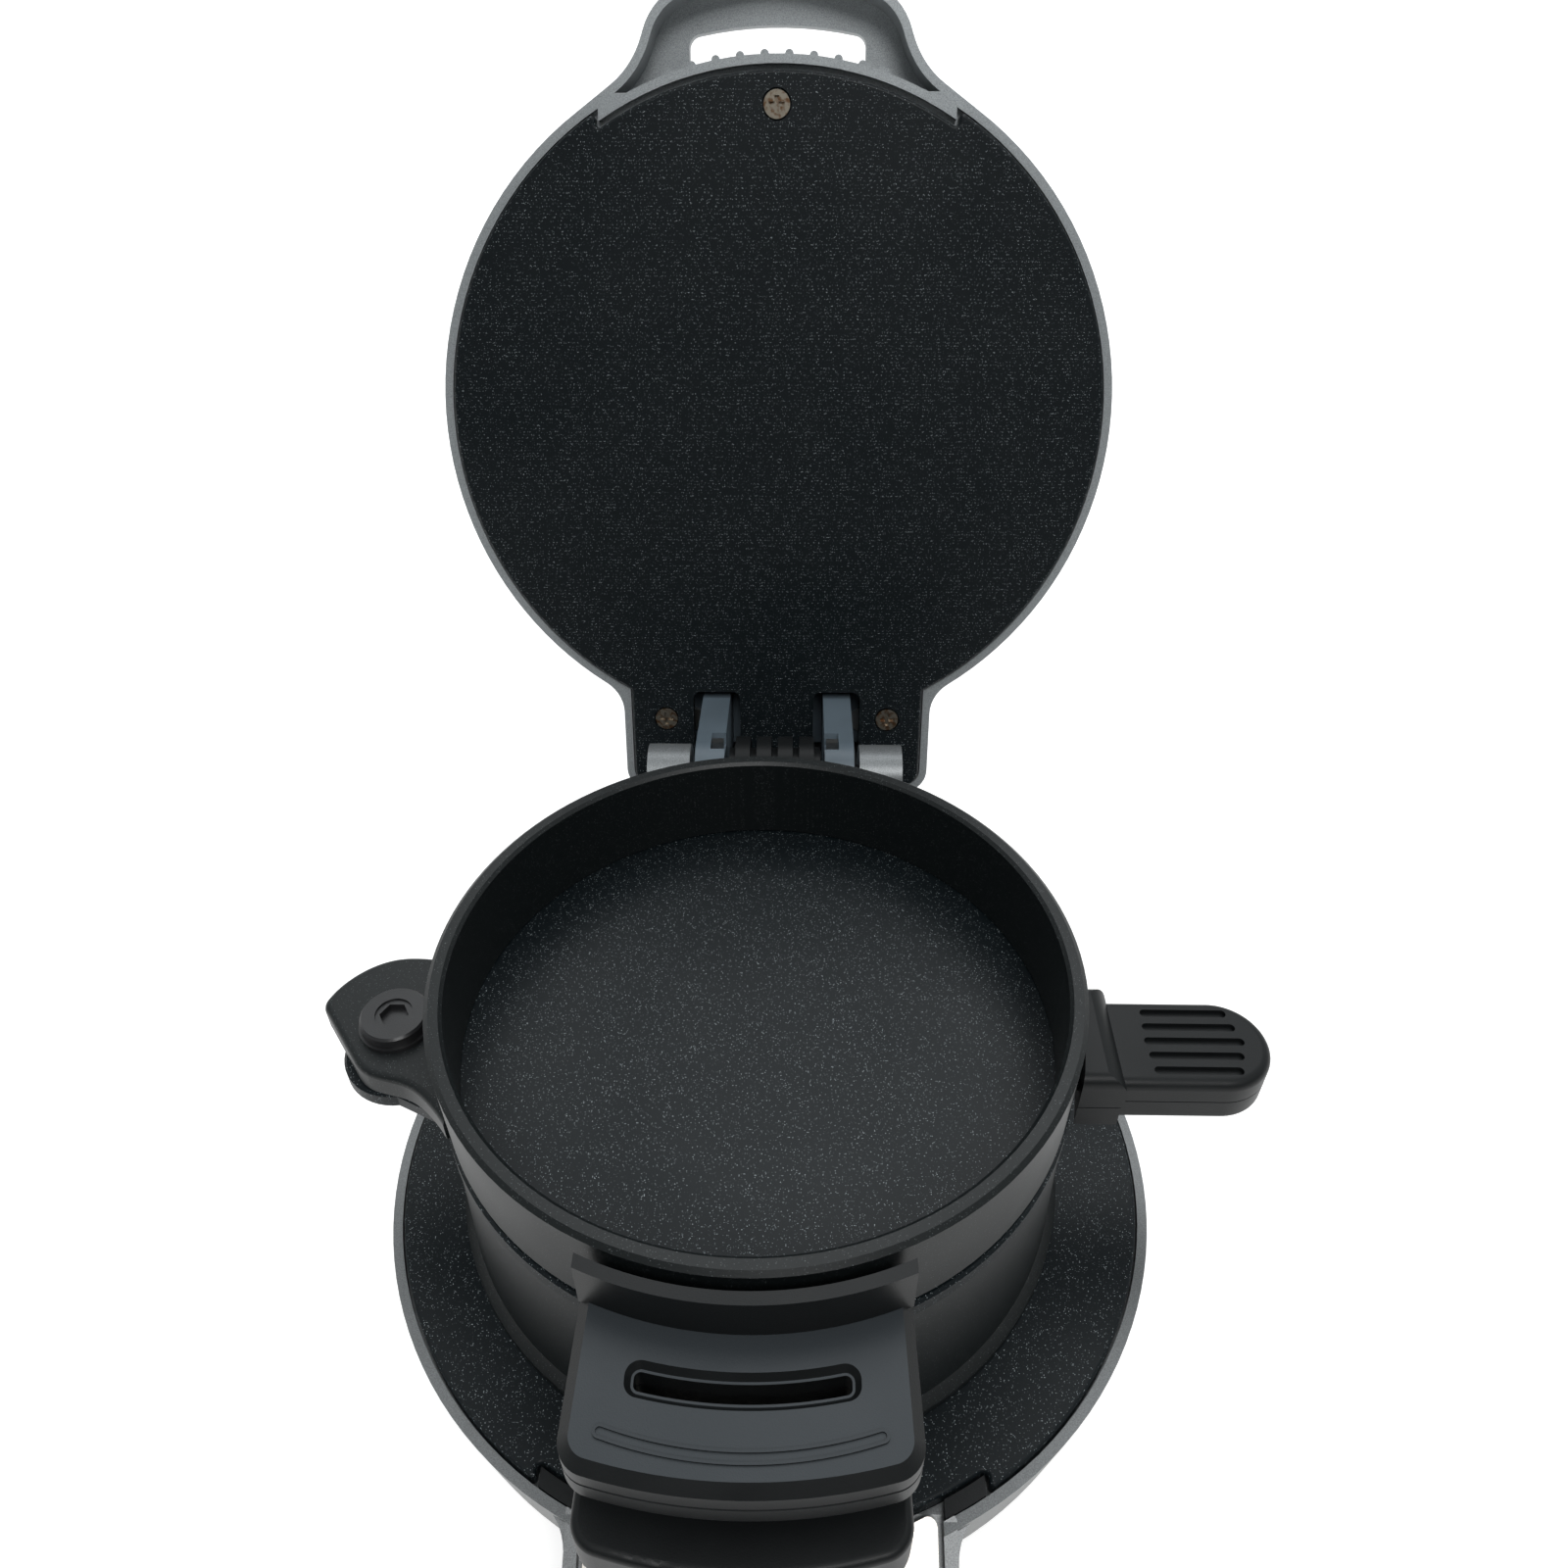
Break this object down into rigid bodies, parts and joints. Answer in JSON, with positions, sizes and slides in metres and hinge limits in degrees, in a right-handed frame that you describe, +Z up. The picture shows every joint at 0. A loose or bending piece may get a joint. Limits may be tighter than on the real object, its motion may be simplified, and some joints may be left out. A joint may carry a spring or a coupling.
{
  "type": "breakfast sandwich maker",
  "caption": "Round countertop sandwich press: hinged heated lid, heated base, two hinged stacking rings and a swing-out cooking plate between them.",
  "frame": {"origin": "on the table under the centre of the rings, in the middle of the four round feet", "axes": "+Z up, +Y towards the hinge at the back, +X towards the cooking plate's handle"},
  "size_m": [0.1692, 0.2566, 0.2081],
  "materials": {
    "housing_gunmetal": "metallic grey, satin",
    "black_plastic": "fine matte",
    "panel_silver": "satin",
    "rubber_black": "matte",
    "screw_steel": "plated",
    "pivot_black": "black oxide",
    "plate_coating": "speckled non-stick coating",
    "ring_coating": "satin non-stick coating",
    "lens_red": "clear tinted",
    "lens_green": "clear tinted",
    "board_green": "board",
    "lamp_glass": "clear",
    "shield_steel": "plain",
    "element_steel": "heat-tinted",
    "wire_white": "heat-proof sleeve"
  },
  "bodies": {
    "base": {"base_housing": "housing_gunmetal", "bottom_cover": "black_plastic", "rubber_feet": "rubber_black", "rear_feet": "rubber_black", "bottom_screws": "screw_steel", "front_panel": "panel_silver", "power_light_lens": "lens_red", "ready_light_lens": "lens_green", "lamp_board": "board_green", "indicator_lamps": "lamp_glass", "lower_heating_plate": "plate_coating", "lower_plate_screws": "screw_steel", "lower_heating_element": "element_steel", "lower_heat_shield": "shield_steel", "lower_thermostat": "shield_steel", "thermal_fuse": "shield_steel", "terminal_block": "black_plastic", "cord_bushing": "rubber_black", "hinge_tower": "housing_gunmetal", "tower_screws": "screw_steel", "notch_fillers": "black_plastic", "lid_hinge_rod": "screw_steel", "cable_guard": "black_plastic", "base_leads": "wire_white"},
    "lid": {"lid_cover": "housing_gunmetal", "upper_heating_plate": "plate_coating", "lid_hinge_arms": "black_plastic", "arm_clips": "screw_steel", "arm_screws": "screw_steel", "upper_plate_screws": "screw_steel", "upper_heating_element": "element_steel", "upper_heat_shield": "shield_steel", "upper_thermostat": "shield_steel", "upper_thermal_fuse": "shield_steel", "lid_leads": "wire_white"},
    "ring_rod": {"ring_hinge_rod": "screw_steel", "rod_clips": "screw_steel"},
    "bottom_ring_body": {"bottom_ring": "ring_coating", "bottom_ring_handle": "black_plastic", "bottom_handle_screws": "screw_steel"},
    "top_ring_body": {"top_ring": "ring_coating", "top_ring_handle": "black_plastic", "top_handle_base": "black_plastic", "top_handle_screws": "screw_steel", "pivot_screw": "pivot_black", "pivot_washer": "pivot_black", "pivot_nut": "pivot_black"},
    "cooking_plate_body": {"cooking_plate": "plate_coating", "plate_handle_upper": "black_plastic", "plate_handle_lower": "black_plastic", "plate_handle_screws": "screw_steel"}
  },
  "joints": [
    {"name": "lid_hinge", "type": "hinge", "parent": "base", "child": "lid", "pos_m": [0, 0.0754, 0.0587], "axis": [-1, 0, 0], "range_deg": [-107.2, 0]},
    {"name": "ring_lift", "type": "slide", "parent": "base", "child": "ring_rod", "axis": [0, 0, 1], "range_m": [0, 0.04]},
    {"name": "bottom_ring_hinge", "type": "hinge", "parent": "ring_rod", "child": "bottom_ring_body", "pos_m": [-0.0018, 0.0626, 0.061], "axis": [-1, 0, 0], "range_deg": [0, 50]},
    {"name": "top_ring_hinge", "type": "hinge", "parent": "bottom_ring_body", "child": "top_ring_body", "pos_m": [-0.0018, 0.0626, 0.061], "axis": [-1, 0, 0], "range_deg": [0, 65]},
    {"name": "plate_swing", "type": "hinge", "parent": "top_ring_body", "child": "cooking_plate_body", "pos_m": [-0.0659, -0.0036, 0.0594], "axis": [0, 0, -1], "range_deg": [0, 100]}
  ]
}
